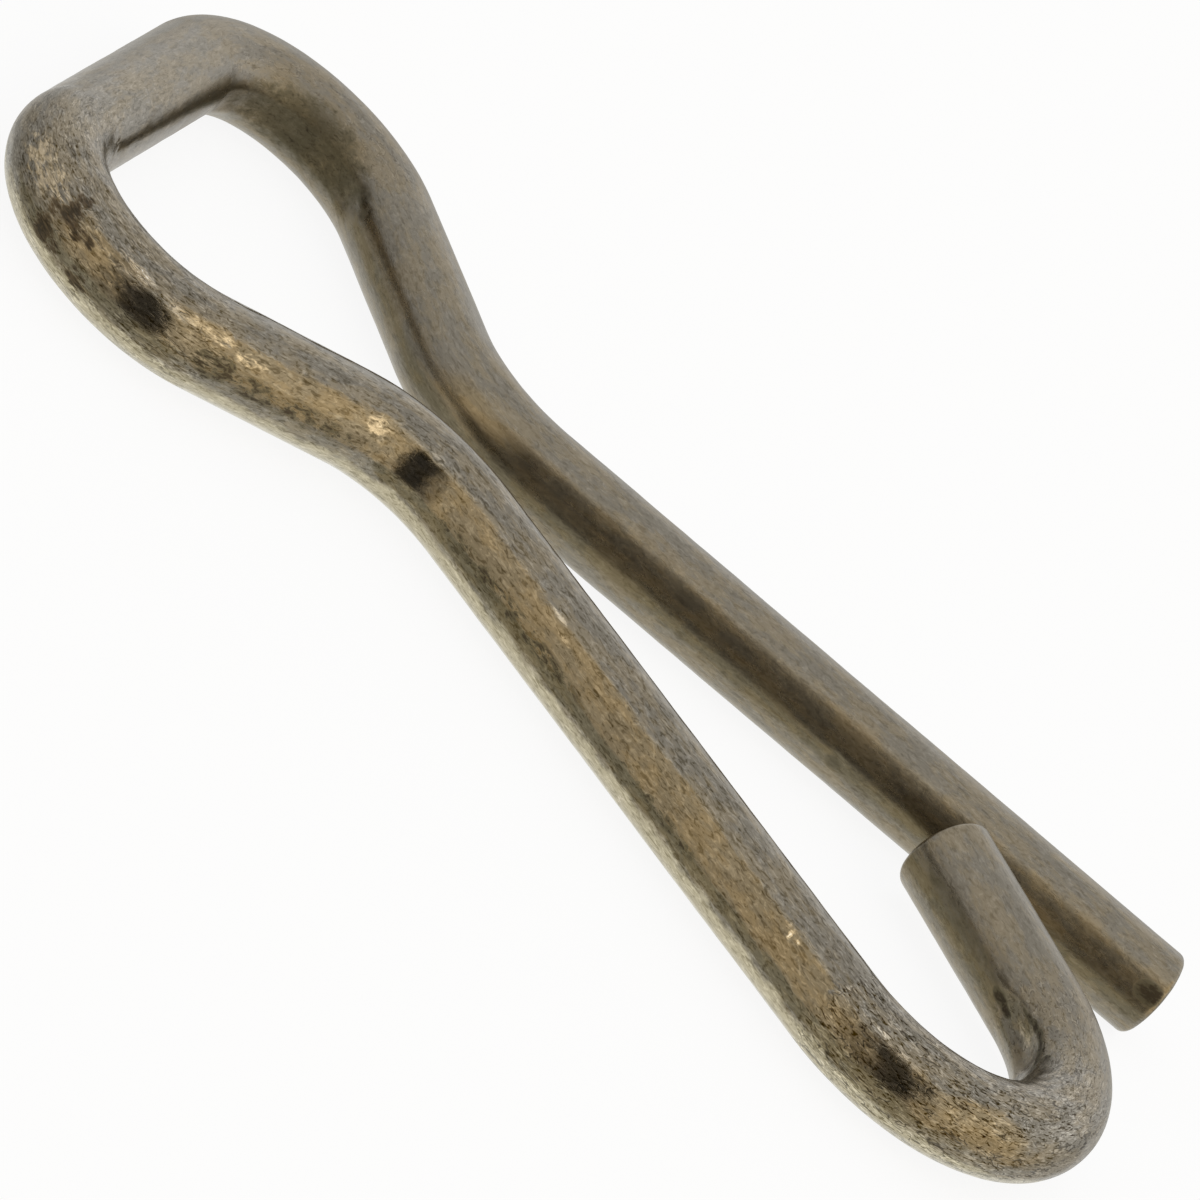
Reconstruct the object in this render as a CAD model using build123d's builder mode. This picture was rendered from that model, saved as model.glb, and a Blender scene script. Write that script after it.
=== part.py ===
"""Cotter pin: one length of round spring wire, bent into a bow, a waist and two splayed legs.

The clip lies flat, as it comes to rest. Its length runs along X, from the bow to the hook, and the
straight leg is on the +Y side. The hooked leg ends in a bend of nearly half a turn, whose tip comes
back to lie against the inner side of the straight leg. Lengths are in millimetres, angles in degrees.
"""

import os
from math import cos, radians, sin

from build123d import *

# Wire
wire_diameter = 1.6
cut_edge_round = 0.12  # softened edge of the two sheared ends

# Bow: a straight bar with a bend at each end, measured over the outside of the wire
bow_width = 11.2
bow_bend_radius = 2.27  # all bend radii are to the middle of the wire
bow_side_angle = 42.2  # slope of the bow's sides to the clip's length

# Waist, where the two sides come close before the legs spread again
waist_gap = 1.4
waist_bend_radius = 2.6

# Legs
overall_length = 22.9
leg_splay = 15.5  # slope of each leg to the clip's length
straight_leg_setback = 1.0  # end of the straight leg, short of the hook's outside

# Hook
hook_bend_radius = 2.79
hook_turn = 166.5
hook_roll = 1.75  # twist of the hook out of the clip's plane
tip_clearance = 0.1  # between the hook's tip and the straight leg

# Flats that the bending mandrels pressed into the inner side of the bow's and the hook's bends
mandrel_flat_depth = 0.05
mandrel_overrun = 0.4  # how far each mandrel stands past the wire

# Sizes that follow
wire_radius = wire_diameter / 2
side_sin = sin(radians(bow_side_angle))
side_cos = cos(radians(bow_side_angle))
splay_sin = sin(radians(leg_splay))
splay_cos = cos(radians(leg_splay))
bar_half_length = bow_width / 2 - wire_radius - bow_bend_radius
bow_turn = 90 + bow_side_angle
waist_turn = bow_side_angle + leg_splay
waist_half_width = waist_gap / 2 + wire_radius
bow_side_rise = bar_half_length + bow_bend_radius * side_cos - waist_half_width
bow_side_length = (bow_side_rise - waist_bend_radius * (1 - side_cos)) / side_sin
hook_reach = overall_length - wire_diameter
mandrel_height = wire_diameter + 2 * mandrel_overrun

# Middle line of the wire, from the bow's bar out along each leg
clip_plane = Plane.XY.offset(wire_radius)
with BuildLine(clip_plane) as clip_line:
    bar = Line((0, bar_half_length), (0, -bar_half_length))

    straight_bow_bend = JernArc(bar @ 0, -(bar % 0), bow_bend_radius, -bow_turn)
    straight_side = PolarLine(straight_bow_bend @ 1, bow_side_length, direction=straight_bow_bend % 1)
    straight_waist_bend = JernArc(straight_side @ 1, straight_side % 1, waist_bend_radius, waist_turn)
    straight_leg_run = hook_reach + wire_radius - straight_leg_setback - (straight_waist_bend @ 1).X
    straight_leg_length = straight_leg_run / splay_cos
    straight_leg = PolarLine(straight_waist_bend @ 1, straight_leg_length, direction=straight_waist_bend % 1)

    hook_bow_bend = JernArc(bar @ 1, bar % 1, bow_bend_radius, bow_turn)
    hook_side = PolarLine(hook_bow_bend @ 1, bow_side_length, direction=hook_bow_bend % 1)
    hook_waist_bend = JernArc(hook_side @ 1, hook_side % 1, waist_bend_radius, -waist_turn)
    hook_leg_run = hook_reach - hook_bend_radius * (1 + splay_sin) - (hook_waist_bend @ 1).X
    hook_leg_length = hook_leg_run / splay_cos
    hook_leg = PolarLine(hook_waist_bend @ 1, hook_leg_length, direction=hook_waist_bend % 1)

# Hook, turned a little about the leg that it ends
hook_plane = Plane(origin=hook_leg @ 1, x_dir=hook_leg % 1, z_dir=clip_plane.z_dir).rotated((hook_roll, 0, 0))
with BuildLine(hook_plane) as hook_line:
    hook_bend = JernArc((0, 0), (1, 0), hook_bend_radius, hook_turn)
    # The tip stops at the straight leg: its nearest edge stands the clearance off the leg's side
    leg_normal = Vector(-splay_sin, splay_cos, 0)
    bend_to_leg = ((straight_leg @ 0) - (hook_bend @ 1)).dot(leg_normal)
    tip_approach = (hook_bend % 1).dot(leg_normal)
    tip_edge_reach = wire_radius * (1 - tip_approach**2) ** 0.5
    tip_length = (bend_to_leg - tip_edge_reach - wire_radius - tip_clearance) / tip_approach
    tip = PolarLine(hook_bend @ 1, tip_length, direction=hook_bend % 1)

# Wire swept along its middle line, then the softened ends and the flats
wire_path = Wire(clip_line.edges() + hook_line.edges())
mandrel_bends = [
    (straight_bow_bend, bow_bend_radius, clip_plane),
    (hook_bow_bend, bow_bend_radius, clip_plane),
    (hook_bend, hook_bend_radius, hook_plane),
]
with BuildPart() as wire:
    with BuildSketch(Plane(origin=straight_leg @ 1, z_dir=straight_leg % 1)):
        Circle(wire_radius)
    sweep(path=wire_path)
    cut_edges = wire.faces().filter_by(GeomType.PLANE).edges()
    fillet(cut_edges, cut_edge_round)
    for bend, bend_radius, bend_plane in mandrel_bends:
        mandrel_plane = Plane(origin=bend.arc_center, z_dir=bend_plane.z_dir)
        with BuildSketch(mandrel_plane.offset(-mandrel_height / 2)):
            Circle(bend_radius - wire_radius + mandrel_flat_depth)
        extrude(amount=mandrel_height, mode=Mode.SUBTRACT)

# The origin is the middle of the clip's footprint, on the surface that it lies on
footprint = wire.part.bounding_box()
cotter_pin = wire.part.moved(Location((-footprint.center().X, -footprint.center().Y, -footprint.min.Z)))
cotter_pin.label = "cotter_pin"

os.makedirs("parts", exist_ok=True)
export_step(cotter_pin, "parts/cotter_pin.step")
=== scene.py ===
"""Cotter pin of bent spring wire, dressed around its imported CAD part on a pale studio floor.

The part is one length of round wire. Geometry Nodes sweep it along its middle line and press the
tool marks into it, and a procedural finish gives it the dull, streaked steel of drawn wire.
Lengths are in metres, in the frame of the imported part, unless a name says otherwise.
"""

import logging
from collections.abc import Iterator
from dataclasses import dataclass
from enum import Enum
from math import ceil, cos, pi, radians, sin, sqrt

import bpy
from mathutils import Matrix, Quaternion, Vector


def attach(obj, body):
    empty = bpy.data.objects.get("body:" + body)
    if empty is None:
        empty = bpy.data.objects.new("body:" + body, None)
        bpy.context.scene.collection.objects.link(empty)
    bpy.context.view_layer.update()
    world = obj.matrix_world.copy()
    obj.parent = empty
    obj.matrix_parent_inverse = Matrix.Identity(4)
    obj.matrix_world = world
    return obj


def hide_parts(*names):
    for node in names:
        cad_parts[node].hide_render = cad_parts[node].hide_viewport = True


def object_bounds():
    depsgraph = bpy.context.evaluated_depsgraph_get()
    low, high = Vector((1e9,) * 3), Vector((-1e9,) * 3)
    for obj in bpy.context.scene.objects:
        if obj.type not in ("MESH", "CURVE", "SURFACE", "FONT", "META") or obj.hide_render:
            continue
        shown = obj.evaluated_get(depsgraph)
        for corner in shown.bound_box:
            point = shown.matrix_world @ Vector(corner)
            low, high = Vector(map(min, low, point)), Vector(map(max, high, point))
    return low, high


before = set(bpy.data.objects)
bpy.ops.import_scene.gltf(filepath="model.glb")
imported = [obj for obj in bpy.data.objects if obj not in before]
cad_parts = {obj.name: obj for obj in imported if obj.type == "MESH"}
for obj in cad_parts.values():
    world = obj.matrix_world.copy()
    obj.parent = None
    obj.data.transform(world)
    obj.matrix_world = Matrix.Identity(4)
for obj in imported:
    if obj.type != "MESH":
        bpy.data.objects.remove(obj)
cad_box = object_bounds()

log = logging.getLogger("cotter_pin")

MM = 0.001
UP = Vector((0, 0, 1))

Colour = tuple[float, float, float]
Span = tuple[float, float]
Feed = bpy.types.NodeSocket | float | int | str | tuple


class Coords(Enum):
    """Names of the values that the wire's mesh hands to its finish."""

    WIRE = "wire_coords"  # place along, beside and above the middle line, in millimetres
    BEND = "bend"  # 1 in the bends of the bow and the hook, -1 in the waist's
    GRIME = "grime"  # 1 in the deepest dirt; the long strips along the flanks carry painted shade
    RUB = "rub"  # 1 where the skin is rubbed bare; some of these spots are painted highlights and glints


class NodeSketch:
    """Writes nodes and their links into one node tree."""

    def __init__(self, tree: bpy.types.NodeTree) -> None:
        """Keeps the tree that the nodes go into."""
        self.tree = tree

    def feed(self, socket: bpy.types.NodeSocket, value: Feed) -> None:
        """Links a socket to another one, or sets its value.

        Args:
            socket: The input to feed.
            value: An output to link, or a plain value.
        """
        if isinstance(value, bpy.types.NodeSocket):
            self.tree.links.new(value, socket)
        else:
            socket.default_value = value

    def node(
        self, kind: str, feeds: dict[str | int, Feed] | None = None, **settings: object
    ) -> bpy.types.Node:
        """Adds a node.

        Args:
            kind: The node's type name.
            feeds: What goes into each input, by name or number.
            settings: Properties of the node itself.

        Returns:
            The new node.
        """
        node = self.tree.nodes.new(kind)
        for name, value in settings.items():
            setattr(node, name, value)
        for key, value in (feeds or {}).items():
            self.feed(node.inputs[key], value)
        return node

    def math(self, operation: str, *values: Feed, clamp: bool = False) -> bpy.types.NodeSocket:
        """Adds a sum of plain numbers.

        Args:
            operation: Name of the operation.
            values: Its terms.
            clamp: Whether the result is held between 0 and 1.

        Returns:
            The result.
        """
        feeds = dict(enumerate(values))
        return self.node("ShaderNodeMath", feeds, operation=operation, use_clamp=clamp).outputs[0]

    def vector(self, operation: str, *values: Feed) -> bpy.types.NodeSocket:
        """Adds a sum of vectors.

        Args:
            operation: Name of the operation.
            values: Its terms.

        Returns:
            The vector that results, or the number where the operation gives one.
        """
        node = self.node("ShaderNodeVectorMath", operation=operation)
        for value, socket in zip(values, (s for s in node.inputs if s.enabled)):
            self.feed(socket, value)
        return next(s for s in node.outputs if s.enabled)

    def step(self, value: Feed, low: Feed, high: Feed) -> bpy.types.NodeSocket:
        """Eases a value from 0 at low to 1 at high.

        Args:
            value: The value to ease.
            low: Where the result is 0.
            high: Where the result is 1.

        Returns:
            The eased value.
        """
        feeds = {"Value": value, "From Min": low, "From Max": high}
        return self.node("ShaderNodeMapRange", feeds, interpolation_type="SMOOTHSTEP").outputs[0]

    def noise(self, place: Feed, size: float, stretch: float = 1.0, detail: float = 3.0,
              roughness: float = 0.55, twist: float = 0.0) -> bpy.types.NodeSocket:
        """Adds a cloudy pattern on the unbent wire.

        Args:
            place: Place on the unbent wire, in millimetres.
            size: Size of a cloud across the wire, in millimetres.
            stretch: How many times longer a cloud is along the wire.
            detail: Number of finer layers.
            roughness: How strong the finer layers are.
            twist: How far the clouds are dragged about.

        Returns:
            A value about 0.5.
        """
        squeezed = self.vector("MULTIPLY", place, (1 / stretch, 1.0, 1.0))
        feeds = {
            "Vector": squeezed, "Scale": 1 / size, "Detail": detail, "Roughness": roughness,
            "Distortion": twist,
        }
        return self.node("ShaderNodeTexNoise", feeds).outputs[0]

    def blend(self, share: Feed, first: Feed, second: Feed) -> bpy.types.NodeSocket:
        """Mixes two colours.

        Args:
            share: Share of the second colour.
            first: First colour.
            second: Second colour.

        Returns:
            The mixed colour.
        """
        node = self.node("ShaderNodeMix", {"Factor": share}, data_type="RGBA")
        colours = (s for s in node.inputs if s.enabled and s.type == "RGBA")
        for socket, value in zip(colours, (first, second)):
            self.feed(socket, (*value, 1.0) if isinstance(value, tuple) else value)
        return next(s for s in node.outputs if s.enabled)


@dataclass(frozen=True)
class Station:
    """One point of the wire's middle line."""

    place: Vector
    along: float  # length of wire from the straight leg's end
    inside: float  # 1 where the inside of a bend is on the left, -1 where it is on the right
    girth: float = 1.0  # share of the wire's full radius


class WireBender:
    """Draws a middle line step by step, as a forming machine feeds and bends wire."""

    def __init__(self, heading: float, spacing: float) -> None:
        """Starts at the origin.

        Args:
            heading: First direction in the clip's plane, in degrees from X.
            spacing: Longest distance between two stations.
        """
        self.spacing = spacing
        self.ahead = Vector((cos(radians(heading)), sin(radians(heading)), 0))
        self.left = UP.cross(self.ahead)
        self.place = Vector((0, 0, 0))
        self.along = 0.0
        self.stations: list[Station] = [Station(self.place.copy(), 0.0, 0.0)]

    def _shares(self, length: float) -> Iterator[float]:
        """Gives the even shares of a length at which stations stand."""
        count = ceil(length / self.spacing)
        return (step / count for step in range(1, count + 1))

    def feed(self, length: float) -> Vector:
        """Adds a straight run.

        Args:
            length: Length of the run.

        Returns:
            The middle of the run.
        """
        start, first = self.place, self.along
        for share in self._shares(length):
            self.stations.append(Station(start + self.ahead * length * share, first + length * share, 0.0))
        self.place, self.along = start + self.ahead * length, first + length
        return start + self.ahead * length / 2

    def bend(self, radius: float, turn: float) -> None:
        """Adds a bend.

        Args:
            radius: Radius to the middle of the wire.
            turn: Turn in degrees, to the left if positive.
        """
        side = 1.0 if turn > 0 else -1.0
        start, first, length = self.place, self.along, radius * radians(abs(turn))
        ahead, inward = self.ahead, self.left * side
        for share in self._shares(length):
            angle = radians(abs(turn)) * share
            place = start + ahead * radius * sin(angle) + inward * radius * (1 - cos(angle))
            self.stations.append(Station(place, first + length * share, side))
        self.place, self.along = self.stations[-1].place, first + length
        axis = ahead.cross(self.left)
        swing = Quaternion(axis, radians(turn))
        self.ahead, self.left = swing @ ahead, swing @ self.left

    def roll(self, angle: float) -> None:
        """Turns the plane of the next bend about the wire.

        Args:
            angle: Turn in degrees, which lifts the left side if positive.
        """
        self.left = Quaternion(self.ahead, radians(angle)) @ self.left


@dataclass(frozen=True)
class ToolMark:
    """A dent, stain, scuff or rubbed spot, placed on the unbent wire."""

    along: float  # millimetres from the straight leg's end
    angle: float  # degrees from the outer flank, towards the top
    length: float  # millimetres along the wire
    width: float  # millimetres round the wire
    depth: float = 0.0  # millimetres
    grime: float = 0.0  # share of dirt that it holds; for the long strips, share of painted shade
    rub: float = 0.0  # share of its skin that is rubbed bare and painted pale; some of these are painted highlights


MARK_RIM = 1.25  # where a mark fades out, in shares of its half size
MARK_FLOOR = 0.35  # where it is at its full strength
TOOL_MARKS = (
    # scuffs and stains at the hooked side's bow corner, with rubbed strips painted pale as highlights and
    # strips of painted shade along the flank
    ToolMark(along=30.98, angle=27, length=1.50, width=0.64, depth=0.006, rub=0.56),
    ToolMark(along=31.60, angle=-9, length=0.38, width=0.42, depth=0.010, grime=0.80),
    ToolMark(along=31.84, angle=-13, length=0.32, width=0.26, depth=0.006, grime=0.42),
    ToolMark(along=31.72, angle=29, length=0.32, width=0.36, depth=0.012, grime=0.95),
    ToolMark(along=31.66, angle=50, length=0.28, width=0.30, depth=0.008, grime=0.42),
    ToolMark(along=31.52, angle=17, length=0.28, width=0.24, depth=0.006, grime=0.52),
    ToolMark(along=31.95, angle=20, length=0.36, width=0.32, depth=0.008, grime=0.40),
    ToolMark(along=32.13, angle=24, length=0.22, width=0.18, depth=0.006, grime=0.60),
    ToolMark(along=32.36, angle=-15, length=0.42, width=0.46, depth=0.010, grime=0.50),
    ToolMark(along=32.75, angle=28, length=1.00, width=0.80, rub=0.22),
    # rubbed strips along the top of the flank, painted pale as highlights
    ToolMark(along=32.81, angle=47, length=0.55, width=0.18, depth=0.006, rub=0.85),
    ToolMark(along=33.55, angle=42, length=0.70, width=0.26, depth=0.010, rub=0.46),
    ToolMark(along=34.10, angle=41, length=0.70, width=0.24, depth=0.010, rub=0.42),
    ToolMark(along=34.75, angle=33, length=0.80, width=0.26, depth=0.008, rub=0.38),
    ToolMark(along=34.08, angle=8, length=0.10, width=0.36, depth=0.010, grime=0.55),
    ToolMark(along=34.22, angle=-4, length=0.22, width=0.12, depth=0.008, grime=0.45),
    # painted shade: darker strips along the middle of the flank, under the painted highlights
    ToolMark(along=34.30, angle=9, length=0.90, width=0.60, grime=0.60),
    ToolMark(along=35.10, angle=6, length=1.20, width=0.50, grime=0.42),
    ToolMark(along=36.20, angle=5, length=2.40, width=0.44, grime=0.42),
    # pinch of the waist tool, rubbed bare and painted pale as a highlight
    ToolMark(along=37.42, angle=36, length=0.60, width=0.34, depth=0.010, rub=0.75),
    ToolMark(along=38.85, angle=47, length=0.50, width=0.10, rub=0.60),
    # scratches on the hooked leg, pressed in and painted pale as glints, and two long strips of painted shade
    # along the middle of its outer flank
    ToolMark(along=41.60, angle=1, length=4.80, width=0.38, grime=0.38),
    ToolMark(along=45.60, angle=-2, length=3.60, width=0.26, grime=0.30),
    ToolMark(along=42.26, angle=43, length=0.36, width=0.06, depth=0.006, rub=0.74),
    ToolMark(along=42.60, angle=32, length=0.32, width=0.07, depth=0.006, rub=0.74),
    ToolMark(along=45.02, angle=-38, length=0.14, width=0.55, depth=0.006, rub=0.30),
    ToolMark(along=48.30, angle=41, length=0.14, width=0.07, depth=0.006, rub=1.0),
    ToolMark(along=48.46, angle=34, length=0.08, width=0.16, depth=0.006, rub=1.0),
    ToolMark(along=48.62, angle=35, length=0.10, width=0.06, depth=0.006, rub=1.0),
    # scratches on the hook, painted as glints, and the dent inside it, with painted shade round its rim and a
    # painted highlight in its middle
    ToolMark(along=50.35, angle=47, length=0.50, width=0.10, depth=0.006, rub=0.80),
    ToolMark(along=50.80, angle=44, length=0.36, width=0.10, depth=0.006, rub=0.70),
    ToolMark(along=55.40, angle=148, length=0.28, width=0.18, depth=0.012, grime=0.95),
    ToolMark(along=56.25, angle=178, length=1.50, width=0.62, depth=0.070),
    ToolMark(along=56.60, angle=176, length=1.00, width=0.34, rub=0.26),
    ToolMark(along=57.10, angle=164, length=0.40, width=0.10, depth=0.008, grime=0.70),
    ToolMark(along=56.86, angle=161, length=0.40, width=0.12, depth=0.010, grime=0.90),
    ToolMark(along=56.62, angle=158, length=0.40, width=0.13, depth=0.012, grime=1.0),
    ToolMark(along=56.36, angle=156, length=0.44, width=0.13, depth=0.012, grime=1.0),
    ToolMark(along=56.08, angle=156, length=0.46, width=0.12, depth=0.012, grime=1.0),
    ToolMark(along=55.78, angle=157, length=0.50, width=0.12, depth=0.012, grime=0.95),
    ToolMark(along=55.44, angle=159, length=0.50, width=0.11, depth=0.010, grime=0.90),
    ToolMark(along=55.08, angle=161, length=0.50, width=0.12, depth=0.010, grime=0.85),
    ToolMark(along=57.74, angle=-177, length=0.44, width=0.22, depth=0.014, grime=0.90),
    ToolMark(along=57.46, angle=-174, length=0.50, width=0.16, depth=0.014, grime=0.90),
    # painted shade: a long dark strip along the tip's inner flank, standing in for the hooked leg's shaded side
    # seen in it
    ToolMark(along=59.20, angle=176, length=3.60, width=0.46, grime=0.36),
    # spots on the straight side, and a nick and thin dirt at its bow corner, with a wide strip of painted shade
    # on that corner's inner flank
    ToolMark(along=6.60, angle=-169, length=0.45, width=0.35, depth=0.010, grime=0.40),
    ToolMark(along=0.30, angle=157, length=0.66, width=0.46, grime=0.90),
    ToolMark(along=18.85, angle=-178, length=0.80, width=0.70, depth=0.030),
    ToolMark(along=18.80, angle=157, length=0.70, width=0.20, depth=0.008, grime=0.42),
    ToolMark(along=18.38, angle=170, length=0.24, width=0.34, depth=0.008, grime=0.36),
    # painted shade: a wide dark strip on the bow corner's inner flank, standing in for the shaded bow side seen
    # in it
    ToolMark(along=20.95, angle=172, length=6.20, width=1.60, grime=0.46),
)


@dataclass(frozen=True)
class DullSteel:
    """Finish of drawn spring wire: dull, crinkled grey steel with tarnish, stains and rubbed spots, with
    painted shade in its creases and strips, and painted highlights, glints and reflections.
    """

    steel: Colour = (0.245, 0.222, 0.181)
    tarnish: Colour = (0.264, 0.224, 0.160)
    # painted reflection: pale, warm colour of the lower outer flank, standing in for the lit floor seen in the
    # steel
    painted_floor_reflection: Colour = (0.47, 0.42, 0.30)
    # painted shade: the near-black colour of the creases
    painted_crease_shade: Colour = (0.050, 0.041, 0.029)
    bare: Colour = (0.57, 0.50, 0.39)
    brass: Colour = (0.57, 0.465, 0.31)  # rubbed steel at the bow, where tarnish is left in it
    painted_scratch_glint: Colour = (0.97, 0.95, 0.90)  # fresh scratches, painted near white as glints
    dirt: Colour = (0.040, 0.031, 0.022)
    rust: Colour = (0.118, 0.088, 0.056)
    film_and_shade: Colour = (0.145, 0.133, 0.096)  # thin dirt, and the colour of the painted shade strips
    roughness: float = 0.13
    dulling: float = 0.14  # added roughness of the straight half and the hook's tip
    dull_straight: Span = (31.0, 24.0)  # millimetres along the wire over which the dull skin sets in
    dull_tip: Span = (54.0, 57.0)  # the same at the hook's tip
    hook_skin: Span = (46.0, 50.0)  # where the hook's stronger strokes and creases set in
    brassy: Span = (33.0, 31.5)  # where rubbed steel turns brassy
    rusty: Span = (33.6, 32.8)  # where thin dirt turns to rust
    swell_height: float = 0.012  # millimetres
    dimple_height: float = 0.003  # millimetres
    stroke_height: float = 0.0012  # millimetres
    crinkle_height: float = 0.0016  # millimetres more in the tight bends
    crease_depth: float = 0.0025  # millimetres

    def material(self) -> bpy.types.Material:
        """Builds the finish.

        Returns:
            The material.
        """
        material = bpy.data.materials.new("dull_spring_steel")
        material.use_nodes = True
        material.node_tree.nodes.clear()
        sketch = NodeSketch(material.node_tree)

        def given(name: Coords, output: str) -> bpy.types.NodeSocket:
            """Reads one of the values that the wire's mesh carries."""
            return sketch.node("ShaderNodeAttribute", attribute_name=name.value).outputs[output]

        wire = given(Coords.WIRE, "Vector")
        bend, grime, rub = (given(name, "Fac") for name in (Coords.BEND, Coords.GRIME, Coords.RUB))
        along, beside, above = sketch.node("ShaderNodeSeparateXYZ", {0: wire}).outputs
        dull = sketch.step(along, *self.dull_straight)
        dull = sketch.math("ADD", sketch.step(along, *self.dull_tip), dull)
        patches = sketch.noise(wire, size=0.34, stretch=3.0, detail=4.0, roughness=0.62)
        swells = sketch.noise(wire, size=0.26, stretch=1.8, detail=0.0)
        dimples = sketch.noise(wire, size=0.22, stretch=1.7, detail=2.0)
        ripples = sketch.noise(wire, size=0.11, stretch=2.2, detail=3.0, roughness=0.6)
        strokes = sketch.noise(wire, size=0.058, stretch=2.7, detail=2.0, twist=1.0)
        crinkles = sketch.noise(wire, size=0.043, stretch=2.8, detail=2.0, twist=1.2)
        streaks = sketch.noise(wire, size=0.050, stretch=16.0, detail=2.0)

        def around(value: bpy.types.NodeSocket, gain: Feed, base: Feed = 0.0) -> bpy.types.NodeSocket:
            """Takes a pattern about its middle value, times a gain, and adds it to a base."""
            return sketch.math("MULTIPLY_ADD", sketch.math("SUBTRACT", value, 0.5), gain, base)

        # skin of short dark and light strokes, finest and strongest in the tight bends
        tight = sketch.step(around(dimples, 0.8, bend), 0.25, 0.75)
        tight = sketch.math("MULTIPLY", tight, sketch.math("MULTIPLY_ADD", dull, -0.5, 1.0))
        skin = sketch.node("ShaderNodeMix", {"Factor": tight, 2: strokes, 3: crinkles}).outputs[0]
        hooked = sketch.step(along, *self.hook_skin)
        depth = sketch.math("MULTIPLY", tight, sketch.math("MULTIPLY_ADD", hooked, 0.5, 0.4))
        depth = sketch.math("MULTIPLY_ADD", dull, -0.5, sketch.math("ADD", depth, 1.0))
        dark = sketch.math("MULTIPLY", sketch.step(skin, 0.49, 0.33), sketch.math("MULTIPLY", depth, 0.46))
        light = sketch.math("MULTIPLY", sketch.step(skin, 0.54, 0.70), sketch.math("MULTIPLY", depth, 0.42))
        drawn = sketch.math("MULTIPLY_ADD", dull, -0.13, 0.22)
        dark = sketch.math("MULTIPLY_ADD", sketch.step(streaks, 0.46, 0.32), drawn, dark)

        # thin winding creases, where a cloudy pattern passes its middle value, and the ridges beside them: the
        # creases are pressed in and painted near black as shade, and the ridges are painted light as highlights
        crease_width = 0.045
        cloud = around(sketch.noise(wire, size=0.11, stretch=2.3, detail=1.0, twist=0.7), 1.0)
        line = sketch.step(sketch.math("ABSOLUTE", cloud), crease_width, 0.0)
        beyond = sketch.math("SUBTRACT", cloud, 1.6 * crease_width)
        ridge = sketch.step(sketch.math("ABSOLUTE", beyond), crease_width, 0.0)
        loose = sketch.step(sketch.noise(wire, size=0.16, stretch=1.8, detail=2.0), 0.42, 0.58)
        wrinkled = sketch.math("MULTIPLY", tight, sketch.math("MULTIPLY_ADD", hooked, 0.3, 0.36))
        loose = sketch.math("MULTIPLY", loose, sketch.math("ADD", wrinkled, 0.14))
        creases, painted_ridge_highlights = sketch.math("MULTIPLY", line, loose), sketch.math("MULTIPLY", ridge, loose)

        # steel, tarnish and rubbed spots under the strokes, with a painted floor reflection on the lower outer
        # flank; some rubbed spots are painted highlights
        tarnished = sketch.step(sketch.math("MULTIPLY_ADD", ripples, 0.40, patches), 0.60, 0.80)
        colour = sketch.blend(tarnished, self.steel, self.tarnish)
        # painted reflection: the lower outer flank takes the pale, warm colour of the lit floor
        low = sketch.step(around(dimples, 0.35, above), -0.22, -0.40)
        girth = sketch.vector("LENGTH", sketch.vector("MULTIPLY", wire, (0.0, 1.0, 1.0)))
        outer = sketch.math("MULTIPLY", sketch.step(beside, -0.1, 0.2), sketch.step(girth, 0.70, 0.78))
        low = sketch.math("MULTIPLY", low, outer)
        colour = sketch.blend(low, colour, self.painted_floor_reflection)
        # rubbed bare spots, some of them painted highlights
        wear_and_highlight = sketch.step(around(strokes, 2.0, around(ripples, 1.8, rub)), 0.08, 0.90)
        rubbed = sketch.blend(sketch.step(along, *self.brassy), self.bare, self.brass)
        colour = sketch.blend(sketch.math("MULTIPLY", wear_and_highlight, sketch.step(rub, 0.0, 0.3)), colour, rubbed)
        cloudy = sketch.math("MULTIPLY_ADD", dull, -0.25, 0.55)
        shade = around(patches, 0.35, around(ripples, cloudy, sketch.math("SUBTRACT", light, dark)))
        # painted highlight along the ridge beside each crease
        shade = sketch.math("MULTIPLY_ADD", painted_ridge_highlights, 0.7, shade)
        half = sketch.math("MULTIPLY", shade, 0.5)
        grey = sketch.math("MULTIPLY", half, self.steel[1])
        colour = sketch.vector("MULTIPLY_ADD", colour, sketch.math("ADD", half, 1.0), grey)
        # painted shade in each crease
        colour = sketch.blend(creases, colour, self.painted_crease_shade)
        # painted glints: near-white flecks on the most rubbed spots
        glinting_scratches = sketch.step(around(strokes, 0.8, rub), 0.80, 0.90)
        colour = sketch.blend(glinting_scratches, colour, self.painted_scratch_glint)

        # stains and thin dirt with torn edges, and the strips of painted shade along the flanks
        tear = sketch.math("MULTIPLY_ADD", dull, -0.8, 1.0)
        frayed = around(strokes, 1.8, around(ripples, 2.8, around(dimples, 1.2)))
        torn = sketch.math("MULTIPLY_ADD", frayed, tear, grime)
        dirt_and_shade = sketch.math("MULTIPLY", sketch.step(torn, 0.14, 0.50), sketch.step(grime, 0.0, 0.30))
        sharp = sketch.math("SUBTRACT", 1.0, dull)
        rusty = sketch.math("MULTIPLY", sketch.step(along, *self.rusty), sharp)
        thin = sketch.blend(rusty, self.film_and_shade, self.rust)
        stain_and_shade = sketch.blend(sketch.step(around(strokes, 1.0, torn), 0.45, 0.95), thin, self.dirt)
        colour = sketch.blend(sketch.math("MULTIPLY", dirt_and_shade, 0.85), colour, stain_and_shade)

        gloss = around(patches, 0.14, sketch.math("MULTIPLY_ADD", dull, self.dulling, self.roughness))
        gloss = sketch.math("MULTIPLY_ADD", dirt_and_shade, 0.30, gloss)
        gloss = sketch.math("MULTIPLY_ADD", tight, 0.09, gloss, clamp=True)

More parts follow.
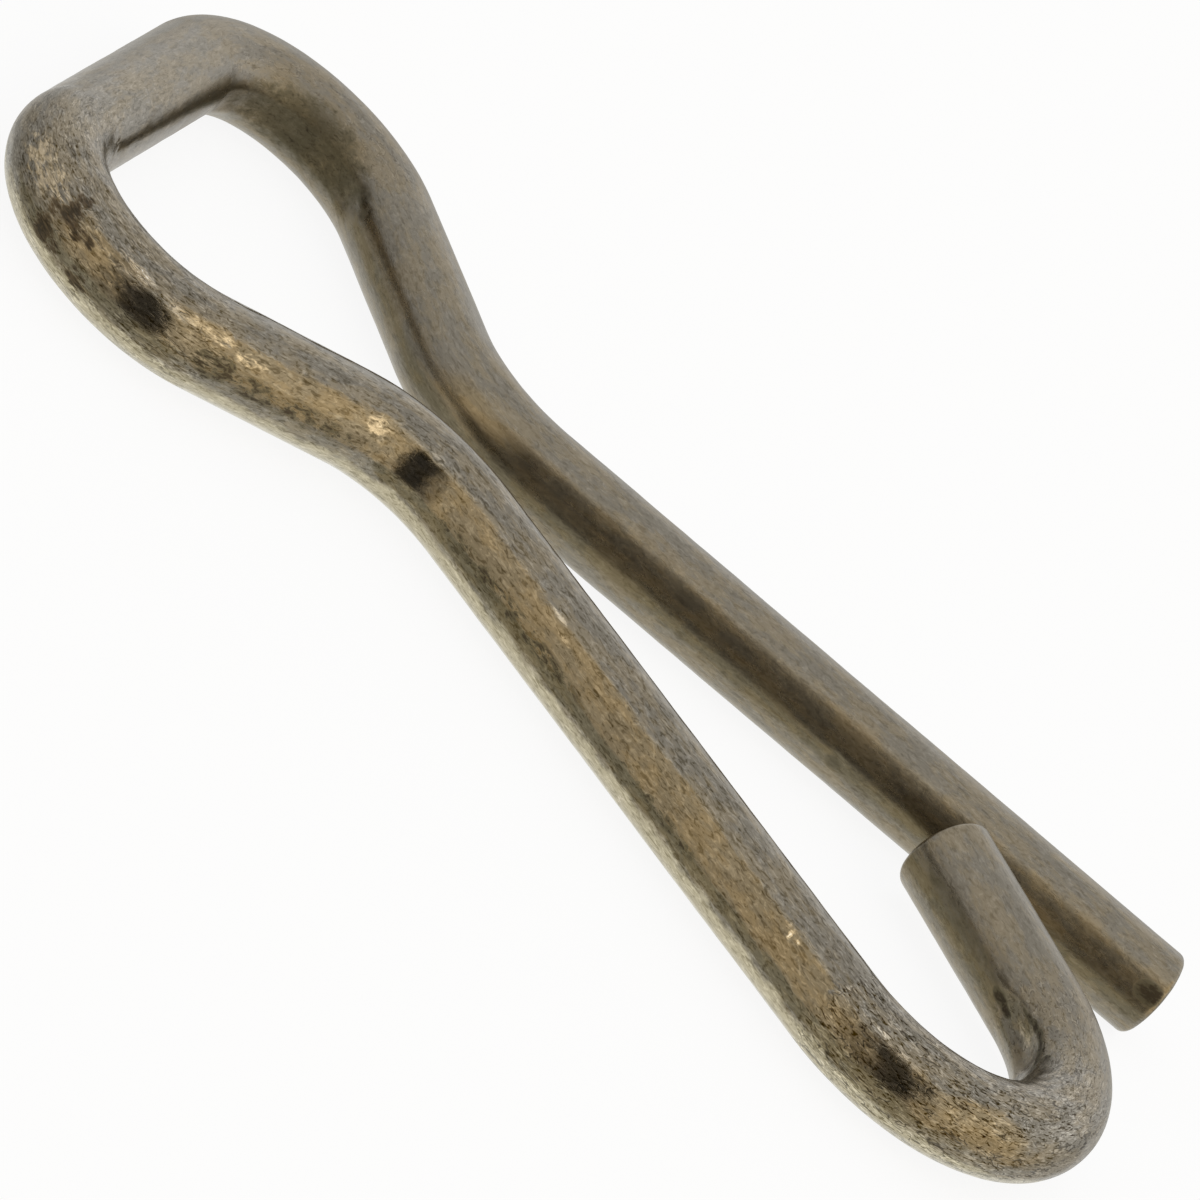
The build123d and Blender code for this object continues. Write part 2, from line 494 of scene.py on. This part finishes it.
        ironed = sketch.math("MAXIMUM", dull, sketch.step(bend, 0.0, -0.6))
        hammered = sketch.math("MULTIPLY_ADD", ironed, -0.8, sketch.math("MULTIPLY_ADD", tight, 1.8, 1.0))
        hammered = sketch.math("MULTIPLY", hammered, self.swell_height)
        relief = sketch.math("MULTIPLY", swells, hammered)
        relief = sketch.math("MULTIPLY_ADD", dimples, self.dimple_height, relief)
        rise = sketch.math("MULTIPLY_ADD", tight, self.crinkle_height, self.stroke_height)
        relief = sketch.math("MULTIPLY_ADD", skin, rise, relief)
        relief = sketch.math("MULTIPLY_ADD", creases, -self.crease_depth, relief)
        bump = {"Strength": 1.0, "Distance": MM, "Height": relief}
        normal = sketch.node("ShaderNodeBump", bump).outputs["Normal"]
        shader = sketch.node(
            "ShaderNodeBsdfPrincipled",
            {"Base Color": colour, "Metallic": 1.0, "Roughness": gloss, "Normal": normal},
        )
        sketch.node("ShaderNodeOutputMaterial", {"Surface": shader.outputs[0]})
        return material


@dataclass
class SpringWire:
    """The clip's wire: a bow, a waist, a straight leg and a hooked leg."""

    wire_diameter: float = 1.6 * MM
    cut_edge_round: float = 0.12 * MM
    bow_width: float = 11.2 * MM
    bow_bend_radius: float = 2.27 * MM
    bow_side_angle: float = 42.2
    waist_gap: float = 1.4 * MM
    waist_bend_radius: float = 2.6 * MM
    overall_length: float = 22.9 * MM
    leg_splay: float = 15.5
    straight_leg_setback: float = 1.0 * MM
    hook_bend_radius: float = 2.79 * MM
    hook_turn: float = 166.5
    hook_roll: float = 1.75
    tip_clearance: float = 0.1 * MM
    mandrel_flat_depth: float = 0.05 * MM
    flat_ease: float = 0.35 * MM  # run over which a flat fades out past its bend
    ring_spacing: float = 0.062 * MM
    sides: int = 92
    grain_height: float = 0.012 * MM
    wave_height: float = 0.010 * MM
    face_rise: float = 0.012 * MM  # how far the cut faces bulge
    edge_steps: int = 6  # rings round a cut edge
    seed: float = 17.0

    @property
    def radius(self) -> float:
        """Radius of the wire."""
        return self.wire_diameter / 2

    def draw(self) -> list[Station]:
        """Draws the middle line from the straight leg's end to the hook's tip.

        Returns:
            The line's stations, in place.
        """
        slope, splay = radians(self.bow_side_angle), radians(self.leg_splay)
        bar_half = self.bow_width / 2 - self.radius - self.bow_bend_radius
        waist_half = self.waist_gap / 2 + self.radius
        rise = bar_half + self.bow_bend_radius * cos(slope) - waist_half
        side = (rise - self.waist_bend_radius * (1 - cos(slope))) / sin(slope)
        waist_reach = (
            self.bow_bend_radius * (1 + sin(slope)) + side * cos(slope)
            + self.waist_bend_radius * (sin(slope) + sin(splay))
        )
        hook_reach = self.overall_length - self.wire_diameter
        straight_run = (hook_reach + self.radius - self.straight_leg_setback - waist_reach) / cos(splay)
        hook_run = (hook_reach - self.hook_bend_radius * (1 + sin(splay)) - waist_reach) / cos(splay)
        bow_turn = 90 + self.bow_side_angle
        waist_turn = self.bow_side_angle + self.leg_splay

        bender = WireBender(heading=180 + self.leg_splay, spacing=self.ring_spacing)
        leg_start = bender.place.copy()
        bender.feed(straight_run)
        bender.bend(self.waist_bend_radius, -waist_turn)
        bender.feed(side)
        bender.bend(self.bow_bend_radius, bow_turn)
        bar_middle = bender.feed(2 * bar_half)
        bender.bend(self.bow_bend_radius, bow_turn)
        bender.feed(side)
        bender.bend(self.waist_bend_radius, -waist_turn)
        bender.feed(hook_run)
        bender.roll(self.hook_roll)
        bender.bend(self.hook_bend_radius, self.hook_turn)
        across = Vector((-sin(splay), cos(splay), 0))
        approach = bender.ahead.dot(across)
        to_leg = (leg_start - bender.place).dot(across)
        edge_reach = self.radius * sqrt(1 - approach**2)
        bender.feed((to_leg - edge_reach - self.radius - self.tip_clearance) / approach)

        low = cad_box[0]
        bar_place = Vector((low.x + self.radius, low.y + self.bow_width / 2, low.z + self.radius))
        shift = bar_place - bar_middle
        return [Station(s.place + shift, s.along, s.inside) for s in bender.stations]

    def round_ends(self, line: list[Station]) -> list[Station]:
        """Adds the closer stations of the two cut ends, where the girth falls to a point.

        Args:
            line: The line's stations.

        Returns:
            The stations with both ends.
        """
        total = line[-1].along
        face_radius = self.radius - self.cut_edge_round
        profile = [(self.face_rise * share**2, face_radius * share) for share in (0.02, 0.3, 0.6, 0.9)]
        for step in range(self.edge_steps + 1):
            turn = pi / 2 * step / self.edge_steps
            run = self.face_rise + self.cut_edge_round * (1 - cos(turn))
            profile.append((run, self.radius - self.cut_edge_round * (1 - sin(turn))))
        reach = profile[-1][0] + self.ring_spacing / 2
        ahead = (line[1].place - line[0].place).normalized()
        back = (line[-2].place - line[-1].place).normalized()
        first: list[Station] = []
        last: list[Station] = []
        for run, girth in profile:
            share = girth / self.radius
            first.append(Station(line[0].place + ahead * run, run, 0.0, share))
            last.append(Station(line[-1].place + back * run, total - run, 0.0, share))
        middle = [s for s in line if reach < s.along < total - reach]
        return first + middle + last[::-1]

    def line_object(self, line: list[Station]) -> bpy.types.Object:
        """Makes the middle line into a chain of edges that carries each station's values.

        Args:
            line: The line's stations.

        Returns:
            The chain's object.
        """
        mesh = bpy.data.meshes.new("wire_line")
        mesh.from_pydata([s.place for s in line], [(i, i + 1) for i in range(len(line) - 1)], [])
        for name in ("along", "inside", "girth"):
            values = mesh.attributes.new(name, "FLOAT", "POINT")
            values.data.foreach_set("value", [getattr(s, name) for s in line])
        chain = bpy.data.objects.new("wire_line", mesh)
        bpy.context.scene.collection.objects.link(chain)
        return chain

    def shape_tree(self) -> bpy.types.GeometryNodeTree:
        """Builds the tree that sweeps the wire, presses its flats and marks, and gives it its grain.

        Returns:
            The tree.
        """
        tree = bpy.data.node_groups.new("bent_wire", "GeometryNodeTree")
        sketch = NodeSketch(tree)
        tree.interface.new_socket("Line", in_out="INPUT", socket_type="NodeSocketGeometry")
        inputs = {
            "Wire Radius": "Float", "Sides": "Int", "Flat Depth": "Float", "Grain Height": "Float",
            "Wave Height": "Float", "Seed": "Float", "Finish": "Material",
        }
        for name, kind in inputs.items():
            tree.interface.new_socket(name, in_out="INPUT", socket_type=f"NodeSocket{kind}")
        tree.interface.new_socket("Wire", in_out="OUTPUT", socket_type="NodeSocketGeometry")
        given = sketch.node("NodeGroupInput").outputs

        def value(name: str) -> bpy.types.NodeSocket:
            """Reads one of the line's own values."""
            return sketch.node("GeometryNodeInputNamedAttribute", {"Name": name}, data_type="FLOAT").outputs[0]

        # sweep, keeping each ring's centre and direction
        curve = sketch.node("GeometryNodeMeshToCurve", {"Mesh": given["Line"]}).outputs[0]
        curve = sketch.node("GeometryNodeSetCurveNormal", {"Curve": curve}, mode="Z_UP").outputs[0]
        keep = sketch.node("GeometryNodeCaptureAttribute", {"Geometry": curve})
        for name, source in (("Centre", "GeometryNodeInputPosition"), ("Ahead", "GeometryNodeInputTangent")):
            keep.capture_items.new("VECTOR", name)
            sketch.feed(keep.inputs[name], sketch.node(source).outputs[0])
        circle = sketch.node(
            "GeometryNodeCurvePrimitiveCircle", {"Resolution": given["Sides"], "Radius": given["Wire Radius"]}
        ).outputs[0]
        swept = sketch.node(
            "GeometryNodeCurveToMesh",
            {
                "Curve": keep.outputs["Geometry"], "Profile Curve": circle,
                "Scale": value("girth"), "Fill Caps": True,
            },
        ).outputs[0]

        # place on the unbent wire
        place = sketch.node("GeometryNodeInputPosition").outputs[0]
        offset = sketch.vector("SUBTRACT", place, keep.outputs["Centre"])
        ahead = sketch.vector("NORMALIZE", keep.outputs["Ahead"])
        beside = sketch.vector("NORMALIZE", sketch.vector("CROSS_PRODUCT", ahead, tuple(UP)))
        above = sketch.vector("CROSS_PRODUCT", beside, ahead)
        out = sketch.vector("DOT_PRODUCT", offset, beside)
        rise = sketch.vector("DOT_PRODUCT", offset, above)
        unbent = sketch.node("ShaderNodeCombineXYZ", {0: value("along"), 1: out, 2: rise}).outputs[0]
        unbent = sketch.vector("SCALE", unbent, 1 / MM)

        def store(geometry: bpy.types.NodeSocket, name: Coords, kind: str, what: Feed) -> bpy.types.NodeSocket:
            """Stores a value on the wire's points for its finish."""
            feeds = {"Geometry": geometry, "Name": name.value}
            node = sketch.node("GeometryNodeStoreNamedAttribute", feeds, data_type=kind)
            sketch.feed(next(s for s in node.inputs if s.name == "Value" and s.enabled), what)
            return node.outputs[0]

        wire = store(swept, Coords.WIRE, "FLOAT_VECTOR", unbent)
        unbent = sketch.node(
            "GeometryNodeInputNamedAttribute", {"Name": Coords.WIRE.value}, data_type="FLOAT_VECTOR"
        ).outputs[0]
        along, beside_mm = sketch.node("ShaderNodeSeparateXYZ", {0: unbent}).outputs[:2]

        # tool marks
        sunk: Feed = 0.0
        held: dict[Coords, Feed] = {Coords.GRIME: 0.0, Coords.RUB: 0.0}
        radius_mm = self.radius / MM
        for mark in TOOL_MARKS:
            toward = (0.0, cos(radians(mark.angle)), sin(radians(mark.angle)))
            facing = sketch.math("DIVIDE", sketch.vector("DOT_PRODUCT", unbent, toward), radius_mm, clamp=True)
            round_way = sketch.math("MULTIPLY", sketch.math("ARCCOSINE", facing), 2 * radius_mm / mark.width)
            line_way = sketch.math("MULTIPLY", sketch.math("SUBTRACT", along, mark.along), 2 / mark.length)
            squares = [sketch.math("POWER", way, 2.0) for way in (round_way, line_way)]
            away = sketch.math("SQRT", sketch.math("ADD", *squares))
            pressed = sketch.step(away, MARK_RIM, MARK_FLOOR)
            sunk = sketch.math("MULTIPLY_ADD", pressed, mark.depth * MM, sunk)
            for name, share in ((Coords.GRIME, mark.grime), (Coords.RUB, mark.rub)):
                if share:
                    held[name] = sketch.math("MAXIMUM", held[name], sketch.math("MULTIPLY", pressed, share))
        for name, share in held.items():
            wire = store(wire, name, "FLOAT", share)

        # flats of the bending mandrel
        inside = value("inside")
        wire = store(wire, Coords.BEND, "FLOAT", inside)
        left_bend = sketch.math("MAXIMUM", inside, 0.0)
        toward_inside = sketch.math("MULTIPLY", beside_mm, -MM)
        flat = sketch.math("MULTIPLY", given["Flat Depth"], left_bend)
        limit = sketch.math("SUBTRACT", given["Wire Radius"], flat)
        over = sketch.math("MAXIMUM", sketch.math("SUBTRACT", toward_inside, limit), 0.0)
        back = sketch.vector("SCALE", beside, over)

        # waves and grain of the drawn surface, which only sink
        seed = sketch.node("ShaderNodeCombineXYZ", {0: given["Seed"]}).outputs[0]
        seeded = sketch.vector("ADD", unbent, seed)
        waves = sketch.noise(seeded, size=1.1, stretch=2.5, detail=1.0)
        waves = sketch.math("MULTIPLY", waves, given["Wave Height"])
        grain = sketch.noise(seeded, size=0.30, stretch=2.0, detail=2.0)
        grain = sketch.math("MULTIPLY", grain, given["Grain Height"])
        sunk = sketch.math("ADD", sunk, sketch.math("ADD", waves, grain))
        normal = sketch.node("GeometryNodeInputNormal").outputs[0]
        inward = sketch.vector("SCALE", normal, sketch.math("MULTIPLY", sunk, -1.0))
        shift = sketch.vector("ADD", inward, back)
        moved = sketch.node("GeometryNodeSetPosition", {"Geometry": wire, "Offset": shift}).outputs[0]

        smooth = sketch.node("GeometryNodeSetShadeSmooth", {"Geometry": moved, "Shade Smooth": True}).outputs[0]
        real = sketch.node("GeometryNodeRealizeInstances", {"Geometry": smooth}).outputs[0]
        dressed = sketch.node("GeometryNodeSetMaterial", {"Geometry": real, "Material": given["Finish"]})
        sketch.node("NodeGroupOutput", {"Wire": dressed.outputs[0]})
        return tree

    def ease_bends(self, line: list[Station]) -> list[Station]:
        """Fades each bend's value out over a short run to both sides.

        Args:
            line: The line's stations.

        Returns:
            The stations with eased bends.
        """
        edges = [(a.along, a.inside or b.inside) for a, b in zip(line, line[1:]) if a.inside != b.inside]
        eased = []
        for s in line:
            inside = s.inside
            for edge, side in edges:
                reach = abs(s.along - edge) / self.flat_ease
                if reach < 1:
                    share = 0.5 + (0.5 if s.inside else -0.5) * reach
                    inside = side * share * share * (3 - 2 * share)
            eased.append(Station(s.place, s.along, inside, s.girth))
        return eased

    def build(self, finish: DullSteel) -> bpy.types.Object:
        """Makes the wire as one plain mesh.

        Args:
            finish: The wire's finish.

        Returns:
            The wire's object.
        """
        line = self.round_ends(self.ease_bends(self.draw()))
        chain = self.line_object(line)
        tree = self.shape_tree()
        sizes = {
            "Wire Radius": self.radius, "Sides": self.sides, "Flat Depth": self.mandrel_flat_depth,
            "Grain Height": self.grain_height, "Wave Height": self.wave_height, "Seed": self.seed,
            "Finish": finish.material(),
        }
        modifier = chain.modifiers.new("bent_wire", "NODES")
        modifier.node_group = tree
        for item in tree.interface.items_tree:
            if item.in_out == "INPUT" and item.name in sizes:
                modifier[item.identifier] = sizes[item.name]
        shaped = chain.evaluated_get(bpy.context.evaluated_depsgraph_get())
        mesh = bpy.data.meshes.new_from_object(shaped)
        chain.modifiers.remove(modifier)
        bpy.data.objects.remove(chain)
        mesh.name = "spring_wire"
        wire = bpy.data.objects.new("spring_wire", mesh)
        bpy.context.scene.collection.objects.link(wire)
        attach(wire, "root")
        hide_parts("cotter_pin")
        return wire


@dataclass(frozen=True)
class StudioFloor:
    """Pale sheet that the clip lies on, lit through from below."""

    half_width: float = 0.5
    paper: Colour = (0.955, 0.965, 0.985)
    glow: float = 0.90  # share of the sheet's brightness, to the camera, that shines through it

    def build(self) -> bpy.types.Object:
        """Makes the sheet.

        Returns:
            The sheet's object.
        """
        w = self.half_width
        mesh = bpy.data.meshes.new("floor")
        mesh.from_pydata([(-w, -w, 0.0), (w, -w, 0.0), (w, w, 0.0), (-w, w, 0.0)], [], [(0, 1, 2, 3)])
        material = bpy.data.materials.new("lit_paper")
        material.use_nodes = True
        material.node_tree.nodes.clear()
        sketch = NodeSketch(material.node_tree)
        ray = sketch.node("ShaderNodeLightPath").outputs
        matte = sketch.node("ShaderNodeBsdfDiffuse", {"Color": (*self.paper, 1.0)}).outputs[0]
        lit = sketch.node("ShaderNodeEmission", {"Color": (1.0, 1.0, 1.0, 1.0), "Strength": 1.0}).outputs[0]
        to_camera = sketch.math("MULTIPLY", ray["Is Camera Ray"], self.glow)
        sheet = sketch.node("ShaderNodeMixShader", {0: to_camera, 1: matte, 2: lit}).outputs[0]
        clear = sketch.node("ShaderNodeBsdfTransparent").outputs[0]
        to_metal = sketch.math("MAXIMUM", ray["Is Glossy Ray"], ray["Is Transmission Ray"])
        both = sketch.node("ShaderNodeMixShader", {0: to_metal, 1: sheet, 2: clear}).outputs[0]
        sketch.node("ShaderNodeOutputMaterial", {"Surface": both})
        mesh.materials.append(material)
        floor = bpy.data.objects.new("floor", mesh)
        bpy.context.scene.collection.objects.link(floor)
        return floor


@dataclass(frozen=True)
class LightTent:
    """Soft white tent round and below the clip, with a warm open front and a dark card in it.

    Elevations and swings are in degrees. A swing of 0 is towards -Y, and +X is at 90.
    """

    white: Colour = (0.83, 0.83, 0.83)
    rear: Colour = (1.0, 1.0, 1.0)  # brighter cloth behind the clip
    horizon: Colour = (0.70, 0.69, 0.66)  # shaded strip where the tent meets the table
    warm: Colour = (1.0, 0.865, 0.635)
    card: Colour = (0.078, 0.072, 0.064)
    lip: Colour = (1.2, 1.15, 1.05)  # bright edge over the opening
    table: Colour = (0.63, 0.60, 0.47)  # front of the table
    below: Colour = (0.96, 0.96, 0.92)  # table at the sides and under the clip
    right_gain: float = 0.30  # how much brighter the tent is on the hook's side
    left_loss: float = 0.22  # how much darker it is, low down, on the bow's side
    rear_foot: float = 12.0
    rear_top: float = 38.0
    rear_edge: float = 125.0
    horizon_foot: float = -30.0
    horizon_top: float = 5.0
    front_top: float = 59.0
    front_foot: float = -24.0
    front_left: float = -50.0
    front_right: float = 105.0
    card_top: float = 55.0
    card_left: float = 4.0
    card_right: float = 38.0
    card_shade: float = 0.5  # darkness of the strip that the card shades on its left
    shade_left: float = -11.0
    table_foot: float = -57.0
    table_left: float = -105.0
    table_right: float = 60.0
    front_soft: Span = (6.0, 2.0)  # half widths of the soft edges: at the sides, then at foot and top
    card_soft: Span = (6.0, 5.0)
    table_soft: Span = (8.0, 2.0)
    rear_soft: Span = (15.0, 7.0)
    shade_soft: float = 5.0
    horizon_soft: float = 6.0
    lip_reach: Span = (-2.0, 3.0)  # foot and top of the lip, from the opening's top
    lip_soft: float = 1.0
    right_reach: Span = (0.25, 0.95)  # how far a direction leans to the hook's side
    right_rise: Span = (2.0, 14.0)
    left_reach: Span = (-0.3, -0.8)
    left_rise: Span = (45.0, 20.0)

    def build(self) -> bpy.types.World:
        """Makes the world that lights the clip.

        Returns:
            The world.
        """
        world = bpy.data.worlds.new("light_tent")
        world.use_nodes = True
        world.node_tree.nodes.clear()
        sketch = NodeSketch(world.node_tree)
        direction = sketch.node("ShaderNodeTexCoord").outputs["Generated"]
        x, y, z = sketch.node("ShaderNodeSeparateXYZ", {0: sketch.vector("NORMALIZE", direction)}).outputs
        height = sketch.math("ARCSINE", z)
        swing = sketch.math("ARCTAN2", x, sketch.math("MULTIPLY", y, -1.0))

        def within(value: bpy.types.NodeSocket, low: float, high: float, soft: float) -> bpy.types.NodeSocket:
            """Gives 1 between two angles and 0 outside them, with soft edges."""
            rise = sketch.step(value, radians(low - soft), radians(low + soft))
            fall = sketch.step(value, radians(high + soft), radians(high - soft))
            return sketch.math("MULTIPLY", rise, fall)

        opening = within(swing, self.front_left, self.front_right, self.front_soft[0])
        front = within(height, self.front_foot, self.front_top, self.front_soft[1])
        front = sketch.math("MULTIPLY", front, opening)
        lip_foot, lip_top = (self.front_top + reach for reach in self.lip_reach)
        lip = sketch.math("MULTIPLY", within(height, lip_foot, lip_top, self.lip_soft), opening)
        card_height = within(height, self.front_foot, self.card_top, self.card_soft[1])
        card_span = within(swing, self.card_left, self.card_right, self.card_soft[0])
        card = sketch.math("MULTIPLY", card_height, card_span)
        shade_span = within(swing, self.shade_left, self.card_right, self.shade_soft)
        shade_span = sketch.math("MULTIPLY", shade_span, self.card_shade)
        shaded = sketch.math("MULTIPLY", card_height, shade_span)
        table_span = within(swing, self.table_left, self.table_right, self.table_soft[0])
        table = within(height, self.table_foot, self.front_foot, self.table_soft[1])
        table = sketch.math("MULTIPLY", table, table_span)
        rear_start, rear_end = (radians(self.rear_edge + way * self.rear_soft[0]) for way in (-1, 1))
        behind = sketch.step(sketch.math("ABSOLUTE", swing), rear_start, rear_end)
        rear = within(height, self.rear_foot, self.rear_top, self.rear_soft[1])
        rear = sketch.math("MULTIPLY", rear, behind)
        colour = sketch.blend(rear, self.white, self.rear)
        colour = sketch.blend(sketch.step(height, radians(1.0), radians(-1.0)), colour, self.below)
        horizon = within(height, self.horizon_foot, self.horizon_top, self.horizon_soft)
        colour = sketch.blend(horizon, colour, self.horizon)
        colour = sketch.blend(table, colour, self.table)
        colour = sketch.blend(front, colour, self.warm)
        colour = sketch.blend(shaded, sketch.blend(lip, colour, self.lip), self.card)
        colour = sketch.blend(card, colour, self.card)
        right = sketch.step(height, *map(radians, self.right_rise))
        right = sketch.math("MULTIPLY", sketch.step(x, *self.right_reach), right)
        left = sketch.step(height, *map(radians, self.left_rise))
        left = sketch.math("MULTIPLY", sketch.step(x, *self.left_reach), left)
        level = sketch.math("MULTIPLY_ADD", right, self.right_gain, 1.0)
        level = sketch.math("MULTIPLY_ADD", left, -self.left_loss, level)
        colour = sketch.vector("SCALE", colour, level)
        seen = sketch.node("ShaderNodeLightPath").outputs["Is Camera Ray"]
        colour = sketch.blend(seen, colour, (1.0, 1.0, 1.0))
        sky = sketch.node("ShaderNodeBackground", {"Color": colour, "Strength": 1.0}).outputs[0]
        sketch.node("ShaderNodeOutputWorld", {"Surface": sky})
        bpy.context.scene.world = world
        return world


@dataclass(frozen=True)
class PhotoCamera:
    """Camera at the photograph's viewing angle, with a lens that spans the photograph's frame width."""

    swing: float = -2.71521  # degrees from looking along +Y, towards -X
    elevation: float = 23.64064  # degrees above the clip's plane
    tilt: float = 45.40368  # roll of the picture, degrees
    wire_size: float = 102.90535  # picture points per wire diameter at the bow's bar
    nearness: float = 0.00866  # wire diameters over viewing distance
    bar_point: tuple[float, float] = (127.74195, 102.27947)  # the bar's middle in the picture
    frame_points: float = 1200.0
    sensor: float = 36.0  # millimetres

    def build(self, wire: SpringWire) -> bpy.types.Object:
        """Makes the camera.

        Args:
            wire: The wire that the camera looks at.

        Returns:
            The camera's object.
        """
        swing, down_look, tilt = radians(self.swing), radians(self.elevation), radians(self.tilt)
        look = Vector((sin(swing) * cos(down_look), cos(swing) * cos(down_look), -sin(down_look)))
        level = Vector((cos(swing), -sin(swing), 0))
        over = Vector((sin(swing) * sin(down_look), cos(swing) * sin(down_look), cos(down_look)))
        right = level * cos(tilt) + over * sin(tilt)
        up = over * cos(tilt) - level * sin(tilt)
        middle = self.frame_points / 2
        to_right = (self.bar_point[0] - middle) / self.wire_size
        to_up = (middle - self.bar_point[1]) / self.wire_size
        low = cad_box[0]
        bar = Vector((low.x + wire.radius, low.y + wire.bow_width / 2, low.z + wire.radius))
        place = bar - (right * to_right + up * to_up + look / self.nearness) * wire.wire_diameter

        data = bpy.data.cameras.new("photo_camera")
        data.sensor_fit = "HORIZONTAL"
        data.sensor_width = self.sensor
        data.lens = self.sensor * self.wire_size / self.nearness / self.frame_points
        data.clip_start, data.clip_end = 0.005, 10.0
        camera = bpy.data.objects.new("photo_camera", data)
        turn = Matrix((right, up, -look)).transposed().to_4x4()
        camera.matrix_world = Matrix.Translation(place) @ turn
        bpy.context.scene.collection.objects.link(camera)
        bpy.context.scene.camera = camera
        return camera


def main() -> None:
    """Builds the scene, piece by piece."""
    logging.basicConfig(level=logging.INFO, format="%(name)s: %(message)s")
    wire = SpringWire()
    camera = PhotoCamera().build(wire)
    log.info("%s with a lens of %.0f mm", camera.name, camera.data.lens)
    piece = wire.build(DullSteel())
    log.info("%s with %d faces", piece.name, len(piece.data.polygons))
    log.info("%s laid", StudioFloor().build().name)
    log.info("%s lit", LightTent().build().name)
    bpy.context.scene.view_settings.view_transform = "Standard"


if __name__ == "__main__":
    main()
